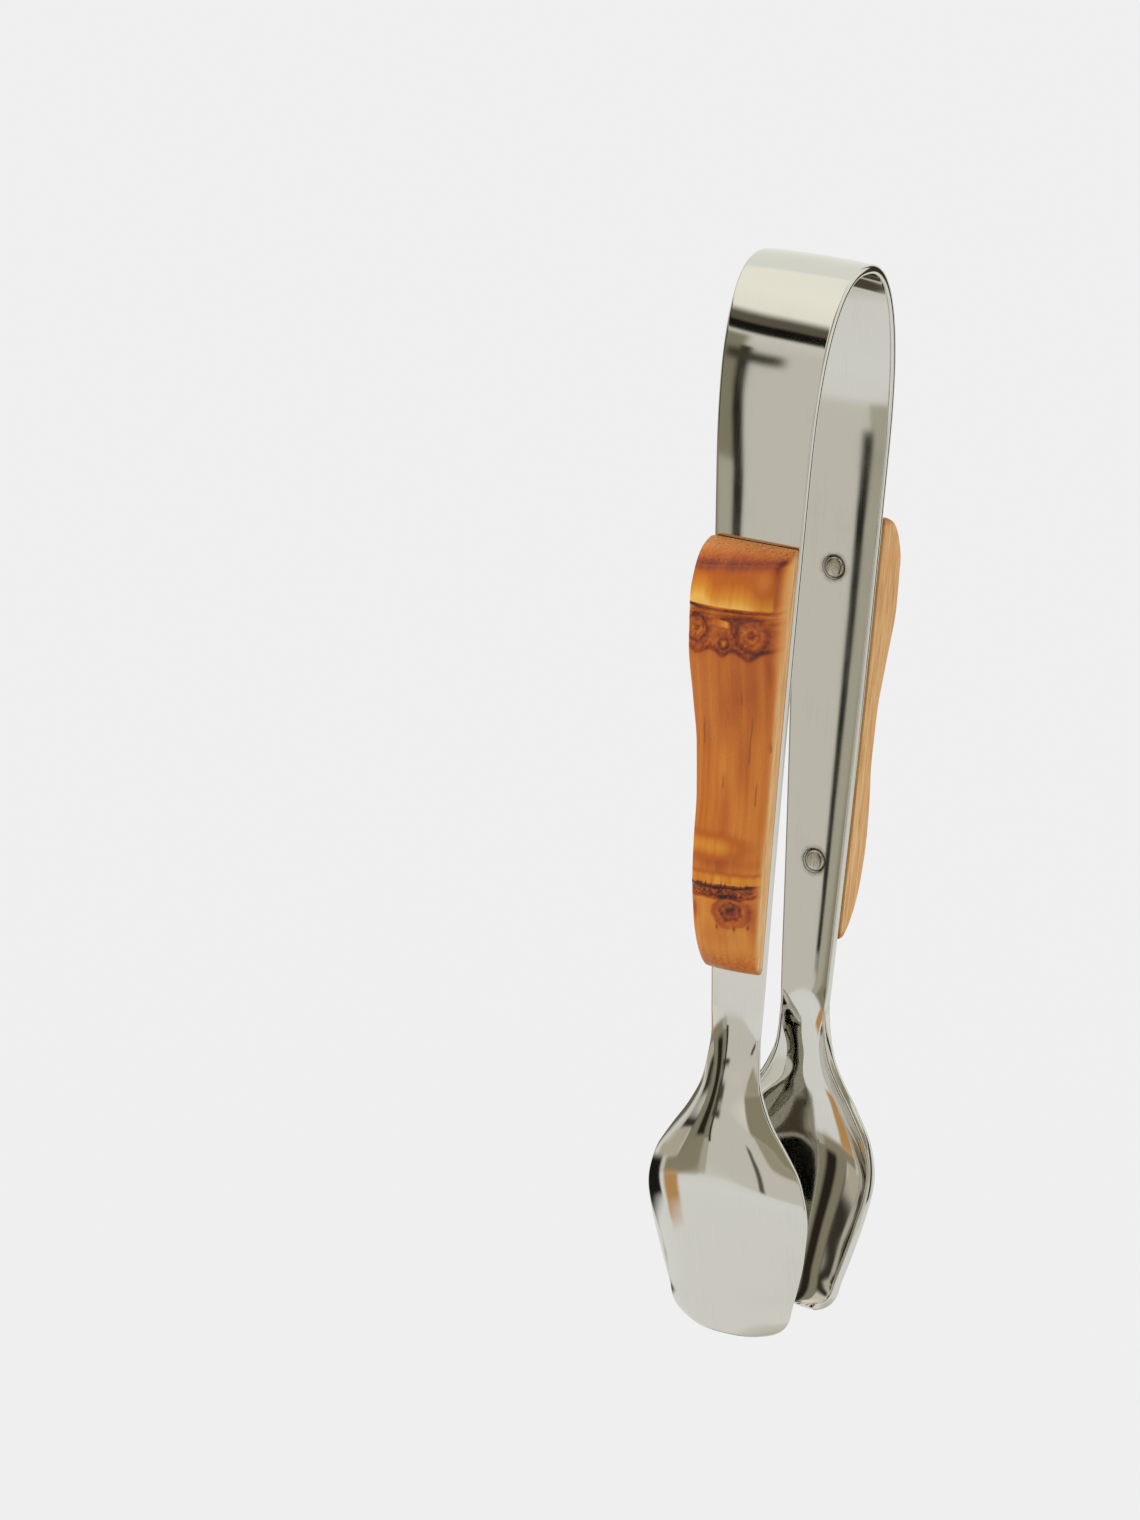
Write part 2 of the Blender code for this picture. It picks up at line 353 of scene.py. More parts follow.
pins = {
    "heights": {"lower": 76.0, "upper": 125.5},
    "radius": 1.7,
    "gap": 0.3,
    "proud": 0.2,
    "depth": 3.1,
    "dome": 0.10,
    "edgeBreak": 0.24,
    "turningMarks": 0.01,
}


def curveThrough(points, x):
    # monotone curve through the points, which never overshoots them
    xs = [p[0] for p in points]
    ys = [p[1] for p in points]
    if x <= xs[0] or x >= xs[-1]:
        return ys[0] if x <= xs[0] else ys[-1]
    slopes = [(ys[i + 1] - ys[i]) / (xs[i + 1] - xs[i]) for i in range(len(xs) - 1)]
    tangents = [slopes[0]]
    tangents += [2 * a * b / (a + b) if a * b > 0 else 0.0 for a, b in zip(slopes, slopes[1:])]
    tangents.append(slopes[-1])
    i = max(k for k in range(len(slopes)) if xs[k] <= x)
    step = xs[i + 1] - xs[i]
    t = (x - xs[i]) / step
    return (ys[i] * (1 + 2 * t) * (1 - t) ** 2 + ys[i + 1] * t * t * (3 - 2 * t)
            + step * t * (1 - t) * (tangents[i] * (1 - t) - tangents[i + 1] * t))


fineStep = 0.1
tableTop = 150
fineHeights = np.arange(0, tableTop + fineStep / 2, fineStep)


def easedTable(values, reach):
    # a running mean with soft shoulders; the ends are carried on in a straight line first
    count = int(round(reach / fineStep))
    weights = np.cos(np.linspace(-1, 1, 2 * count + 1) * math.pi / 2) ** 2
    before = 2 * values[0] - values[count:0:-1]
    after = 2 * values[-1] - values[-2:-count - 2:-1]
    return np.convolve(np.concatenate([before, values, after]), weights / weights.sum(), "valid")


def legLine(height, plan):
    if height < plan["bowlTop"]:
        return curveThrough(plan["bowlLine"], height)
    return plan["bowHalfSpan"] - plan["bendRate"] * max(0.0, plan["bendStart"] - height) ** 2


def stripWidth(height, plan):
    if height >= plan["neckHeight"]:
        return plan["neckHalfWidth"] + plan["taper"] * (height - plan["neckHeight"])
    return curveThrough(plan["bowlWidths"], max(height, plan["tipCorner"]))


lineTable = easedTable(np.array([legLine(h, strip) for h in fineHeights]), strip["soften"])
widthTable = easedTable(np.array([stripWidth(h, strip) for h in fineHeights]), strip["soften"])
dishTable = easedTable(np.array([curveThrough(strip["bowlDish"], h) for h in fineHeights]), strip["soften"])


def lineAt(height):
    return np.interp(height, fineHeights, lineTable)


def halfWidth(height):
    # the widths run on in a straight line above the table, and turn in at the tip's round corners
    tapered = strip["neckHalfWidth"] + strip["taper"] * (height - strip["neckHeight"])
    width = np.where(height > tableTop - 5, tapered, np.interp(height, fineHeights, widthTable))
    corner = 1 - np.clip(height / strip["tipCorner"], 0, 1)
    return width - strip["tipCorner"] * (1 - np.sqrt(1 - corner * corner))


def stripRoute(plan):
    # distance from the centre plane and height along the strip's middle, from the crown to the tip
    power = 2 / plan["bowPower"]
    angles = np.radians(np.linspace(90, 0, 900))
    base = plan["length"] - plan["thickness"] / 2 - plan["bowRise"]
    bow = np.stack([plan["bowHalfSpan"] * np.abs(np.cos(angles)) ** power,
                    base + plan["bowRise"] * np.sin(angles) ** power], -1)
    heights = np.arange(base - 2 * fineStep, -0.001, -fineStep)
    leg = np.stack([np.where(heights > plan["legTop"], plan["bowHalfSpan"], lineAt(heights)), heights], -1)
    route = np.concatenate([bow, leg])
    route[0, 0] = 0
    steps = np.hypot(*np.diff(route, axis=0).T)
    return route, np.concatenate([[0], np.cumsum(steps)])


def stripSheet(plan):
    # the strip's middle surface, with each point's distance from the outline kept as "inset"
    route, run = stripRoute(plan)
    total = run[-1]
    heightAt = lambda v: np.interp(v, run, route[:, 1])
    outAt = lambda v: np.interp(v, run, route[:, 0])
    legTop, legFoot, cornerTop = (np.interp(-plan[name], -route[:, 1], run)
                                  for name in ("legTop", "legFoot", "tipCorner"))
    spread = lambda a, b, step: np.linspace(a, b, max(2, int(math.ceil((b - a) / step)) + 1))
    stations = np.concatenate([[0, 0.03], spread(plan["rowStep"], legTop, plan["rowStep"])[:-1],
                               spread(legTop, legFoot, plan["legRowStep"])[:-1],
                               spread(legFoot, cornerTop, plan["rowStep"])[:-1],
                               cornerTop + (total - cornerTop) * np.sin(np.linspace(0, math.pi / 2, 18))])
    count = len(stations)
    columns = plan["columns"]
    across = np.linspace(-1, 1, columns + 1)
    across = np.sin(across * 1.25) / math.sin(1.25)
    edge = np.stack([halfWidth(heightAt(stations)), stations], -1)
    tangent = np.gradient(edge, axis=0)
    tangent[-1] = (-1, 0)
    inward = np.stack([-tangent[:, 1], tangent[:, 0]], -1)
    inward /= np.linalg.norm(inward, axis=1)[:, None]
    inward[:2] = (-1, 0)
    rings = np.radians(np.linspace(90, 0, 8))[1:]
    depths = plan["edgeRound"] * (1 - np.cos(rings) ** (2 / plan["edgeShape"]))
    # rows across, each pulled in from the outline by the whole rounding
    inner = edge + plan["edgeRound"] * inward
    flat = np.stack([inner[:, None, 0] * across[None, :], np.repeat(inner[:, 1:], columns + 1, 1)], -1)
    points = [flat.reshape(-1, 2)]
    insets = [np.full(count * (columns + 1), plan["edgeRound"])]
    faces = [gridFaces(count, columns + 1)]
    # then rings outside them, down the left side, along the tip and up the right side
    left = edge * (-1, 1)
    leftInward = inward * (-1, 1)
    bottom = np.stack([edge[-1, 0] * across[1:-1], np.full(columns - 1, total)], -1)
    outline = np.concatenate([left, bottom, edge[::-1]])
    outlineInward = np.concatenate([leftInward, np.tile((0.0, -1.0), (columns - 1, 1)), inward[::-1]])
    grid = np.arange(count * (columns + 1)).reshape(count, columns + 1)
    border = np.concatenate([grid[:, 0], grid[-1, 1:-1], grid[::-1, -1]])
    start = count * (columns + 1)
    for depth in depths:
        ring = outline + depth * outlineInward
        points.append(ring)
        insets.append(np.full(len(ring), depth))
        here = start + np.arange(len(ring))
        faces.append(np.stack([border[:-1], here[:-1], here[1:], border[1:]], -1))
        border = here
        start += len(ring)
    flat = np.concatenate(points)
    inset = np.concatenate(insets)
    height = heightAt(flat[:, 1])
    width = halfWidth(height)
    share = np.clip(np.abs(flat[:, 0]) / np.maximum(width, 0.01), 0, 1.02)
    dish = np.interp(height, fineHeights, dishTable, right=0)
    camber = plan["tipCamber"] * np.clip(1 - height / plan["tipCorner"], 0, 1)
    place = np.stack([flat[:, 0], -(outAt(flat[:, 1]) - dish * share ** plan["dishPower"]),
                      height + camber * share ** 2 - plan["tipDrop"]], -1)
    return place * mm, np.concatenate(faces), inset * mm, share


def stripBodyTree(material):
    # Geometry Nodes: a thin sheet becomes a solid strip whose thickness runs out in a rounded edge
    tree, given = newGeometryTree("strip body",
                                  ("Thickness", "Edge round", "Edge shape", "Arch", "Arch power"))
    normal = addNode(tree, "GeometryNodeInputNormal").outputs["Normal"]
    inset = addNode(tree, "GeometryNodeInputNamedAttribute", {"data_type": "FLOAT"}, {"Name": "inset"})
    share = addNode(tree, "GeometryNodeInputNamedAttribute", {"data_type": "FLOAT"}, {"Name": "share"})
    # half the thickness is T/2 (1 - (1 - inset/round)^shape)^(1/shape), and the arch moves both faces alike
    depth = maths(tree, "DIVIDE", inset, given["Edge round"], clamp=True)
    bent = maths(tree, "POWER", maths(tree, "SUBTRACT", 1.0, depth), given["Edge shape"])
    root = maths(tree, "DIVIDE", 1.0, given["Edge shape"])
    full = maths(tree, "POWER", maths(tree, "SUBTRACT", 1.0, bent), root)
    rise = maths(tree, "MULTIPLY", maths(tree, "MULTIPLY", given["Thickness"], 0.5), full)
    fall = maths(tree, "MULTIPLY", maths(tree, "POWER", share, given["Arch power"]), given["Arch"])
    sheets = []
    for way in (1.0, -1.0):
        signed = maths(tree, "SUBTRACT", maths(tree, "MULTIPLY", rise, way), fall)
        offset = addNode(tree, "ShaderNodeVectorMath", {"operation": "SCALE"}, {0: normal, "Scale": signed})
        sheet = addNode(tree, "GeometryNodeSetPosition", None,
                        {"Geometry": given["Geometry"], "Offset": offset.outputs[0]})
        if way < 0:
            sheet = addNode(tree, "GeometryNodeFlipFaces", None, {"Mesh": sheet})
        sheets.append(sheet)
    joined = addNode(tree, "GeometryNodeJoinGeometry")
    for sheet in sheets:
        tree.links.new(sheet.outputs[0], joined.inputs[0])
    merged = addNode(tree, "GeometryNodeMergeByDistance", None, {"Geometry": joined, "Distance": 0.000001})
    smooth = addNode(tree, "GeometryNodeSetShadeSmooth", None, {0: merged})
    return finishTree(tree, smooth, material)


steelFinish = {
    "roughness": (0.03, 0.08),
    "tones": [(0.3, "#CFCDC7"), (0.7, "#D8D6D0")],
    "halo": (1.5, "#6F6858"),  # reach of the tarnish round a pin, and its colour
    "haloWander": 1.2,
    # painted shade on the steel at the rim of each pin's gap: its reach and colour
    "gapShade": (0.2, "#1C1A16"),
    "waveDepth": 0.006,
    "lineDepth": 0.0005,
}


def polishedSteel():
    # Stainless steel, 18/10, drawn through a polishing belt lengthwise and then buffed: nearly a mirror,
    # slightly warm, with faint lengthwise lines and soft hazy patches
    material, tree, shader = newMaterial("stainless steel, belt-drawn and buffed")
    place = addNode(tree, "ShaderNodeTexCoord").outputs["Object"]
    # lines 0.35 mm apart: finer ones would not show
    drawn = addNode(tree, "ShaderNodeMapping", None, {"Vector": place, "Scale": (2860, 60, 45)})
    lines = cloudy(tree, drawn, 1.0, 3.0, 0.6)
    haze = cloudy(tree, place, 90.0, 4.0, 0.55)
    both = maths(tree, "MULTIPLY_ADD", lines, 0.5, haze)
    rough = mapped(tree, both, 0.4, 1.1, *steelFinish["roughness"], kind="LINEAR")
    tree.links.new(rough.outputs[0], shader.inputs["Roughness"])
    tone = ramp(tree, both, steelFinish["tones"])
    # each pin has a thin, uneven halo of tarnish, and painted shade on the steel just round its gap
    spot = addNode(tree, "ShaderNodeSeparateXYZ", None, {0: place}).outputs
    blotches = cloudy(tree, place, 900.0, 3.0)
    hole = pins["radius"] + pins["gap"]
    for height in pins["heights"].values():
        rise = maths(tree, "SUBTRACT", spot["Z"], (height - strip["tipDrop"]) * mm)
        flatSpot = addNode(tree, "ShaderNodeCombineXYZ", None, {"X": spot["X"], "Y": rise})
        away = addNode(tree, "ShaderNodeVectorMath", {"operation": "LENGTH"}, {0: flatSpot}).outputs["Value"]
        uneven = maths(tree, "MULTIPLY_ADD", blotches, steelFinish["haloWander"] * mm, away)
        for reading, (reach, colour) in ((uneven, steelFinish["halo"]), (away, steelFinish["gapShade"])):
            mask = mapped(tree, reading, hole * mm, (hole + reach) * mm, 1.0, 0.0)
            tone = layered(tree, mask, tone, linear(colour))
    tree.links.new(tone, shader.inputs["Base Color"])
    shader.inputs["Metallic"].default_value = 1.0
    # drawn lines over a hand-buffed surface that is not quite even
    waves = cloudy(tree, place, 140.0, 1.0)
    soft = addNode(tree, "ShaderNodeBump", None, {"Height": waves, "Distance": steelFinish["waveDepth"] * mm})
    bump = addNode(tree, "ShaderNodeBump", None,
                   {"Height": lines, "Distance": steelFinish["lineDepth"] * mm, "Normal": soft})
    tree.links.new(bump.outputs[0], shader.inputs["Normal"])
    return material


def pinSteel():
    # Mild steel pins, cut and filed: duller than the strip, with file marks and a little tarnish
    material, tree, shader = newMaterial("steel pin, cut and filed")
    place = addNode(tree, "ShaderNodeTexCoord").outputs["Object"]
    marks = addNode(tree, "ShaderNodeMapping", None,
                    {"Vector": place, "Rotation": (0, math.radians(35), 0), "Scale": (5500, 500, 700)})
    scratches = cloudy(tree, marks, 1.0, 3.0)
    both = maths(tree, "ADD", scratches, cloudy(tree, place, 700.0, 3.0))
    half = maths(tree, "MULTIPLY", both, 0.5)
    tone = ramp(tree, half, [(0.32, "#8F8976"), (0.5, "#B9B4A2"), (0.62, "#D6D2C6")])
    tree.links.new(tone, shader.inputs["Base Color"])
    rough = mapped(tree, both, 0.7, 1.3, 0.2, 0.42, kind="LINEAR")
    tree.links.new(rough.outputs[0], shader.inputs["Roughness"])
    bump = addNode(tree, "ShaderNodeBump", None, {"Height": scratches, "Distance": 0.01 * mm})
    tree.links.new(bump.outputs[0], shader.inputs["Normal"])
    shader.inputs["Metallic"].default_value = 1.0
    return material


def boreHoles(piece, side, plan):
    # cut a hole with a small clearance round each pin
    for height in plan["heights"].values():
        middle = float(lineAt(height))
        start = middle - strip["thickness"] / 2 - plan["proud"] - 2
        end = middle + strip["thickness"] / 2 + plan["gap"] + plan["depth"]
        bm = bmesh.new()
        turn = Matrix.Rotation(math.pi / 2, 4, "X")
        spot = Matrix.Translation((0, side * (start + end) / 2 * mm, (height - strip["tipDrop"]) * mm))
        radius = (plan["radius"] + plan["gap"]) * mm
        bmesh.ops.create_cone(bm, cap_ends=True, segments=96, radius1=radius, radius2=radius,
                              depth=(end - start) * mm, matrix=spot @ turn)
        mesh = bpy.data.meshes.new("bore")
        bm.to_mesh(mesh)
        bm.free()
        cutter = newPiece("bore", mesh)
        cut = piece.modifiers.new("bore", "BOOLEAN")
        cut.object = cutter
        baked(piece)
        bpy.data.objects.remove(cutter)
    return piece


def turned(points, side):
    # the rear side is the front one turned half round the Z axis
    return points if side < 0 else points * (-1, -1, 1)


def makeStrip(name, side, tree):
    points, faces, inset, share = stripSheet(strip)
    mesh = meshFrom(name, turned(points, side), faces, {"inset": inset, "share": share})
    piece = newPiece(name, mesh)
    body = piece.modifiers.new("body", "NODES")
    body.node_group = tree
    setInputs(body, {"Thickness": strip["thickness"] * mm, "Edge round": strip["edgeRound"] * mm,
                     "Edge shape": strip["edgeShape"], "Arch": strip["arch"] * mm,
                     "Arch power": strip["archPower"]})
    baked(piece)
    bm = bmesh.new()
    bm.from_mesh(piece.data)
    bmesh.ops.holes_fill(bm, edges=[e for e in bm.edges if e.is_boundary], sides=0)
    bm.to_mesh(piece.data)
    bm.free()
    boreHoles(piece, side, pins)
    for label in ("inset", "share"):
        piece.data.attributes.remove(piece.data.attributes[label])
    piece.data.set_sharp_from_angle(angle=math.radians(50))
    return piece


steel = polishedSteel()
bodyTree = stripBodyTree(steel)
frontStrip = makeStrip("front_strip", -1, bodyTree)
rearStrip = makeStrip("rear_strip", 1, bodyTree)
print("strips ready:", len(frontStrip.data.polygons), "faces each")

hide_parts("bow", "front_leg")
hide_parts("rear_leg")
for piece, leg, side in ((frontStrip, "front_leg", -1), (rearStrip, "rear_leg", 1)):
    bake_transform(piece)

# Bamboo slips: a flat back against the steel, sawn sides and a skin with two nodes.
# "across" runs from the slip's high edge to its low edge; heights are above the tips.
grip = {
    "bottom": 63.1,
    "top": 134.5,
    "highEdge": [(63.1, 1.2), (64.3, 2.7), (66.2, 3.9), (68.6, 4.9), (72, 5.7), (78.5, 6.2), (85, 5.8),
                 (93, 4.9), (101, 5.0), (109, 6.3), (118.5, 7.9), (126, 7.6), (130.2, 6.2), (133, 4.2),
                 (134.5, 1.5)],
    "lowEdge": [(63.1, 0.9), (64.3, 1.8), (66.2, 2.4), (68.6, 2.8), (72, 3.2), (78.5, 3.7), (85, 3.5),
                (93, 3.1), (101, 3.2), (109, 3.8), (118.5, 5.2), (126, 5.6), (130.2, 4.9), (133, 3.4),
                (134.5, 1.2)],
    "crown": 1.6,
    "crownFade": 6,
    "cornerRound": 1.1,
    "upperRound": 1.0,  # the low edge is rounder by this much near the top
    "endRound": 0.6,
    "rowStep": 0.23,
    "backColumns": 20,
    "sideColumns": 14,
    "cornerColumns": 8,
    "skinColumns": 86,
}
# knots are (across, height, radius, extra burn), smears and painted edge shade (across, height, reach across,
# reach up, darkening), checks (across, lower height, upper height, lean), scallops (across, drop, width)
frontMarks = {
    "seed": 5,
    "panelSides": (-8.2, 7.0),
    "panelBottom": 125.2,
    "panelTop": (131.6, 0.12),
    "ridge": 124.0,
    "bandLow": 118.6,
    "scallops": [(-5.2, 1.2, 1.7), (-0.5, 1.1, 1.1), (3.7, 1.6, 1.7)],
    "crevice": 78.7,
    "creviceSides": (-5.6, 5.0),
    "knots": [(-5.6, 121.2, 1.9, 0), (3.95, 121.0, 2.3, 0), (1.75, 74.4, 2.35, 0.22)],
    "fleck": (-0.9, 122.6, 1.5, 0.6),
    "bead": (-0.36, 119.3, 0.62),
    "smearsAndEdgeShade": [(-4.3, 74.4, 0.7, 1.7, 0.4), (4.9, 74.0, 1.0, 3.6, 0.16), (3.6, 110.5, 2.8, 5.5, 0.09),
               # (-5.4, 88.0) is painted shade down the slip's edge on the -X side
               (-5.4, 88.0, 1.6, 6.0, 0.12), (6.6, 116.0, 0.5, 3.5, 0.2)],
    "checks": [(3.7, 99.0, 108.2, 0.055), (2.5, 109.0, 111.8, 0.04), (-4.2, 101.2, 106.8, 0.03),
               (6.3, 101.0, 104.0, 0.02), (4.6, 92.0, 97.0, 0.03), (-0.6, 94.5, 98.0, -0.02)],
}
rearMarks = {
    "seed": 23,
    "panelSides": (-8.2, 6.9),
    "panelBottom": 125.9,
    "panelTop": (131.7, 0.05),
    "ridge": 124.7,
    "bandLow": 119.2,
    "scallops": [(-3.4, 1.5, 1.7), (1.2, 0.8, 1.0), (5.2, 1.2, 1.5)],
    "crevice": 79.6,
    "creviceSides": (-5.5, 5.0),
    "knots": [(-3.3, 121.7, 2.2, 0), (5.0, 121.9, 1.8, 0), (-1.4, 75.2, 2.2, 0.2)],
    "fleck": (1.0, 123.2, 1.2, 0.5),
    "bead": (1.3, 120.2, 0.55),
    "smearsAndEdgeShade": [(4.2, 75.4, 0.7, 1.7, 0.4), (-4.4, 75.8, 0.6, 2.0, 0.4), (-2.6, 107.5, 2.6, 6.5, 0.1),
               # (5.2, 90.0) is painted shade down the slip's edge on the -X side, as on the front slip
               (5.2, 90.0, 1.4, 6.0, 0.12)],
    "checks": [(-2.4, 97.0, 105.2, 0.03), (1.5, 106.0, 110.8, 0.05), (4.4, 100.2, 104.6, -0.02),
               (-5.1, 91.0, 95.0, 0.02)],
}


def grainNoise(across, height, sizeAcross, sizeUp, seed):
    # smooth random values from 0 to 1 on a lattice of the given spacing
    lattice = np.random.RandomState(seed).rand(64, 512)
    u = across / sizeAcross + 32
    v = height / sizeUp
    i = np.floor(u).astype(int)
    j = np.floor(v).astype(int)
    fu = u - i
    fv = v - j
    fu = fu * fu * (3 - 2 * fu)
    fv = fv * fv * (3 - 2 * fv)
    corner = lambda di, dj: lattice[(i + di) % 64, (j + dj) % 512]
    low = corner(0, 0) * (1 - fu) + corner(1, 0) * fu
    high = corner(0, 1) * (1 - fu) + corner(1, 1) * fu
    return low * (1 - fv) + high * fv


def hump(x, middle, width):
    return np.exp(-((x - middle) / width) ** 2)


def bambooMarks(a, h, marks):
    # what nature, the flame and the file left on the skin, with painted shade in its crevices and under its
    # steps: relief in mm, burn and painted shade, glow and fine cracks
    seed = marks["seed"]
    fine = grainNoise(a, h, 0.45, 0.45, seed + 1) - 0.5
    grit = grainNoise(a, h, 0.28, 0.24, seed + 2) - 0.5
    streaks = grainNoise(a, h, 0.55, 16, seed + 3) - 0.5
    broad = grainNoise(a, h, 2.6, 9, seed + 4) - 0.5
    wave = grainNoise(a, h * 0, 1.7, 1, seed + 5) - 0.5
    ripple = grainNoise(a, h * 0, 0.8, 1, seed + 6) - 0.5
    relief = 0.10 * broad + 0.02 * streaks
    burn = 0.30 + 0.11 * streaks + 0.17 * broad
    glow = np.zeros_like(h)

    # upper panel of bare skin, framed by the sanded end
    top = marks["panelTop"][0] + marks["panelTop"][1] * a
    leftSide, rightSide = marks["panelSides"]
    bottom = marks["panelBottom"] + 0.25 * wave
    panel = smoothstep(top + 0.25, top - 0.3, h) * smoothstep(bottom - 0.12, bottom + 0.12, h)
    panel *= smoothstep(leftSide - 0.3, leftSide + 0.3, a) * smoothstep(rightSide + 0.25, rightSide - 0.3, a)
    over = np.clip(h - top, 0, None)
    under = np.clip(top - h, 0, None)
    aboveBottom = smoothstep(bottom - 0.2, bottom + 0.2, h)
    endZone = smoothstep(top - 0.3, top + 0.5, h)
    down = np.clip((top - h) / (top - bottom), 0, 1)
    relief -= 0.16 * panel
    relief += 0.05 * grit * endZone
    burn = np.where(h > bottom, 0.30 + 0.10 * streaks + 0.16 * grit * endZone, burn)
    burn += 0.50 * endZone * np.exp(-(over / 1.5) ** 1.3) - 0.10 * endZone * smoothstep(1.6, 3.2, over)
    # painted shadow: the panel darkens just under its top edge
    burn += panel * (0.50 * np.exp(-under / 1.3) - 0.08)
    # painted shade: a dark line along the panel's sunk right side
    sideShade = smoothstep(bottom - 0.2, bottom + 1.2, h) * smoothstep(top + 1.6, top, h)
    burn += 0.26 * sideShade * hump(a, rightSide + 0.1, 0.6)
    burn -= 0.06 * aboveBottom * smoothstep(rightSide + 0.2, rightSide + 1.0, a)
    glow += panel * (0.28 + 0.75 * down ** 1.5 + 0.10 * streaks + 0.25 * broad - 0.02 * a)

    # upper node: crevice, wavy ridge, and the dark band with its knots
    ridge = marks["ridge"] + 0.45 * wave + 0.25 * ripple
    crevice = hump(h, bottom - 0.32 + 0.1 * ripple, 0.26)
    relief -= 0.34 * crevice
    # painted shade darkens the crevice below the panel, more on the left
    burn += crevice * (0.42 + 0.35 * smoothstep(-2.5, -6.5, a) + 0.3 * ripple)
    relief += 0.26 * hump(h, ridge, 0.42) + 0.12 * hump(h, ridge - 0.8, 0.25)
    rows = grainNoise(a, h + 0.5 * wave, 3.5, 0.17, seed + 7) - 0.5
    onRidge = hump(h, ridge - 0.25, 0.75)
    burn += onRidge * (0.12 + 0.45 * rows)
    relief += 0.05 * onRidge * rows
    low = marks["bandLow"] + 0.3 * wave
    for place, drop, width in marks["scallops"]:
        low = low - drop * hump(a, place, width)
    band = smoothstep(low - 0.15, low + 0.35, h) * smoothstep(ridge - 0.15, ridge - 0.6, h)
    burn += band * (0.21 + 0.22 * fine + 0.15 * broad)
    relief += 0.24 * smoothstep(low - 0.35, low + 0.25, h) * smoothstep(bottom, ridge, h) * 1.0
    relief += band * 0.06 * fine
    # painted shadow: a dark line at the band's lower step and a soft shadow below it
    burn += 0.36 * hump(h, low - 0.02, 0.34) * (0.8 + 0.6 * ripple)
    burn += 0.10 * np.exp(-np.clip(low - h, 0, None) / 1.4) * (h < low)
    fa, fh, reachA, reachH = marks["fleck"]
    away = np.hypot(np.abs((a - fa) / reachA) ** 1.4, np.abs((h - fh + 0.12 * (a - fa)) / reachH) ** 1.4)
    fleck = smoothstep(1.3, 0.6, away * (1 + 0.5 * fine))
    rim = smoothstep(1.9, 1.2, away)
    burn += 0.18 * (rim - fleck) - 0.25 * fleck
    glow += fleck * (0.35 + 0.5 * smoothstep(fa - reachA, fa + reachA, a))
    relief -= 0.15 * fleck
    ba, bh, beadSize = marks["bead"]
    away = np.hypot(a - ba, h - bh) / beadSize
    relief += 0.32 * np.exp(-away ** 4)
    glow += 0.75 * np.exp(-away ** 4)
    burn += 0.22 * hump(away, 1.35, 0.3)

    # long internode: golden just above the lower node, with a browner belt
    lower = marks["crevice"]
    glow += 0.66 * hump(h, lower + 6.4, 2.3) * smoothstep(9, -2, a) * (1.1 + 0.3 * streaks)
    burn += 0.10 * hump(h, lower + 3.9, 1.0)
    justAbove = smoothstep(lower + 3.0, lower + 1.2, h) * smoothstep(lower, lower + 0.3, h)
    glow += 0.95 * justAbove * (0.75 + 0.3 * streaks)
    glow += 0.20 * hump(a, -3.5, 2.2) * hump(h, lower + 24, 6) * (1 + streaks)

    # lower node: a crevice darkened with painted shade, over a rough ridge with painted shade along its foot
    leftEnd, rightEnd = marks["creviceSides"]
    within = smoothstep(leftEnd - 0.5, leftEnd + 0.2, a) * smoothstep(rightEnd + 0.6, rightEnd - 0.3, a)
    line = lower + 0.3 * wave + 0.12 * ripple
    cut = hump(h, line, 0.27) * within
    relief -= 0.36 * cut
    burn += 0.66 * cut
    ticks = np.clip(grainNoise(a, h * 0, 0.33, 1, seed + 8) - 0.55, 0, 1) * 2.2
    burn += within * ticks * 0.5 * np.exp(-np.clip(h - line, 0, None) / 0.9) * (h > line)
    rough = smoothstep(line - 2.0, line - 1.55, h) * smoothstep(line - 0.1, line - 0.45, h) * within
    relief += rough * (0.20 + 0.14 * grit)
    burn += rough * (0.30 + 0.55 * grit)
    # painted shade along the foot of the rough ridge
    burn += 0.30 * within * hump(h, line - 1.95 + 0.3 * ripple, 0.22)
    below = smoothstep(line - 1.6, line - 2.4, h)
    burn -= 0.15 * below
    glow += 0.22 * below * hump(h, lower - 8.5, 4.0) * smoothstep(4.5, 2.5, a) * smoothstep(-4.5, -2.5, a)

    # knots: a raised boss in a dark ring, with growth rings and a pith
    for place, up, radius, extra in marks["knots"]:
        angle = np.arctan2(h - up, a - place)
        wobble = 1 + 0.05 * np.sin(2 * angle + place) + 0.04 * np.sin(5 * angle + up) + 0.10 * fine
        rho = np.hypot(a - place, (h - up) * 0.94) / radius / wobble
        boss = np.exp(-(rho / 0.86) ** 6)
        rings = 0.5 + 0.5 * np.cos(2 * math.pi * rho * 2.4)
        relief += 0.36 * boss - 0.16 * hump(rho, 1.08, 0.16) + 0.05 * boss * rings
        relief -= 0.20 * np.exp(-(rho / 0.17) ** 2)
        relief += boss * 0.08 * grit
        knotBurn = 0.36 + extra + 0.16 * (1 - rings) + 0.22 * grit + 0.25 * fine
        burn = burn * (1 - boss) + knotBurn * boss
        glow = glow * (1 - np.exp(-(rho / 1.15) ** 6))
        burn += (0.18 + extra / 2) * hump(rho, 1.04, 0.16) + 0.26 * np.exp(-(rho / 0.2) ** 2)
        burn += 0.10 * np.exp(-np.clip(rho - 1.1, 0, None) / 0.25) * (rho > 1.1)
    place, up, radius, extra = marks["knots"][-1]
    for lean in (-0.9, 0.25, 1.05):
        tear = hump(a, place + lean * radius, 0.16) * hump(h, up - radius * (1.25 - 0.15 * abs(lean)), 0.4)
        burn += 0.45 * tear
        relief -= 0.12 * tear

